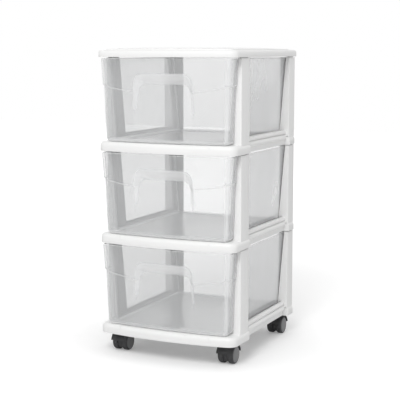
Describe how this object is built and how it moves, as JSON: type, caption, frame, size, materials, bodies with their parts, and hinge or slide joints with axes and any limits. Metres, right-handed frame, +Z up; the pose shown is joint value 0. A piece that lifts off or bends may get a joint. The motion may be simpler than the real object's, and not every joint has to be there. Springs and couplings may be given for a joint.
{
  "type": "drawer tower",
  "caption": "Stacking storage tower with see-through pull-out drawers in white plastic frames, a raised top panel and twin-wheel swivel casters.",
  "frame": {"origin": "centre of the bounding box's base, on the floor under the middle of the tower", "axes": "+X to the right seen from the front, +Y to the back, +Z up; the drawers open along -Y"},
  "size_m": [0.315, 0.353, 0.643],
  "materials": {
    "white_plastic": "satin",
    "clear_plastic": "clear, glossy",
    "dark_plastic": "satin",
    "wheel_plastic": "satin",
    "steel": "brushed"
  },
  "bodies": {
    "tower": {"top_panel": "white_plastic", "upper_frame": "white_plastic", "middle_frame": "white_plastic", "lower_frame": "white_plastic", "front_left_stem": "steel", "front_right_stem": "steel", "rear_left_stem": "steel", "rear_right_stem": "steel"},
    "upper_drawer": {"upper_drawer": "clear_plastic"},
    "middle_drawer": {"middle_drawer": "clear_plastic"},
    "lower_drawer": {"lower_drawer": "clear_plastic"},
    "front_left_caster": {"front_left_hood": "dark_plastic", "front_left_axle": "steel"},
    "front_left_wheel_a": {"front_left_wheel_a": "wheel_plastic"},
    "front_left_wheel_b": {"front_left_wheel_b": "wheel_plastic"},
    "front_right_caster": {"front_right_hood": "dark_plastic", "front_right_axle": "steel"},
    "front_right_wheel_a": {"front_right_wheel_a": "wheel_plastic"},
    "front_right_wheel_b": {"front_right_wheel_b": "wheel_plastic"},
    "rear_left_caster": {"rear_left_hood": "dark_plastic", "rear_left_axle": "steel"},
    "rear_left_wheel_a": {"rear_left_wheel_a": "wheel_plastic"},
    "rear_left_wheel_b": {"rear_left_wheel_b": "wheel_plastic"},
    "rear_right_caster": {"rear_right_hood": "dark_plastic", "rear_right_axle": "steel"},
    "rear_right_wheel_a": {"rear_right_wheel_a": "wheel_plastic"},
    "rear_right_wheel_b": {"rear_right_wheel_b": "wheel_plastic"}
  },
  "joints": [
    {"name": "upper_drawer_slide", "type": "slide", "parent": "tower", "child": "upper_drawer", "axis": [0, -1, 0], "range_m": [0, 0.217]},
    {"name": "middle_drawer_slide", "type": "slide", "parent": "tower", "child": "middle_drawer", "axis": [0, -1, 0], "range_m": [0, 0.217]},
    {"name": "lower_drawer_slide", "type": "slide", "parent": "tower", "child": "lower_drawer", "axis": [0, -1, 0], "range_m": [0, 0.217]},
    {"name": "front_left_swivel", "type": "hinge", "parent": "tower", "child": "front_left_caster", "pos_m": [-0.1235, -0.109, 0.04], "axis": [0, 0, 1], "continuous": true},
    {"name": "front_left_wheel_a_spin", "type": "hinge", "parent": "front_left_caster", "child": "front_left_wheel_a", "pos_m": [-0.1235, -0.116, 0.019], "axis": [1, 0, 0], "continuous": true},
    {"name": "front_left_wheel_b_spin", "type": "hinge", "parent": "front_left_caster", "child": "front_left_wheel_b", "pos_m": [-0.1235, -0.116, 0.019], "axis": [1, 0, 0], "continuous": true},
    {"name": "front_right_swivel", "type": "hinge", "parent": "tower", "child": "front_right_caster", "pos_m": [0.1235, -0.109, 0.04], "axis": [0, 0, 1], "continuous": true},
    {"name": "front_right_wheel_a_spin", "type": "hinge", "parent": "front_right_caster", "child": "front_right_wheel_a", "pos_m": [0.1235, -0.116, 0.019], "axis": [1, 0, 0], "continuous": true},
    {"name": "front_right_wheel_b_spin", "type": "hinge", "parent": "front_right_caster", "child": "front_right_wheel_b", "pos_m": [0.1235, -0.116, 0.019], "axis": [1, 0, 0], "continuous": true},
    {"name": "rear_left_swivel", "type": "hinge", "parent": "tower", "child": "rear_left_caster", "pos_m": [-0.1235, 0.1475, 0.04], "axis": [0, 0, 1], "continuous": true},
    {"name": "rear_left_wheel_a_spin", "type": "hinge", "parent": "rear_left_caster", "child": "rear_left_wheel_a", "pos_m": [-0.1235, 0.1545, 0.019], "axis": [1, 0, 0], "continuous": true},
    {"name": "rear_left_wheel_b_spin", "type": "hinge", "parent": "rear_left_caster", "child": "rear_left_wheel_b", "pos_m": [-0.1235, 0.1545, 0.019], "axis": [1, 0, 0], "continuous": true},
    {"name": "rear_right_swivel", "type": "hinge", "parent": "tower", "child": "rear_right_caster", "pos_m": [0.1235, 0.1475, 0.04], "axis": [0, 0, 1], "continuous": true},
    {"name": "rear_right_wheel_a_spin", "type": "hinge", "parent": "rear_right_caster", "child": "rear_right_wheel_a", "pos_m": [0.1235, 0.1545, 0.019], "axis": [1, 0, 0], "continuous": true},
    {"name": "rear_right_wheel_b_spin", "type": "hinge", "parent": "rear_right_caster", "child": "rear_right_wheel_b", "pos_m": [0.1235, 0.1545, 0.019], "axis": [1, 0, 0], "continuous": true}
  ]
}
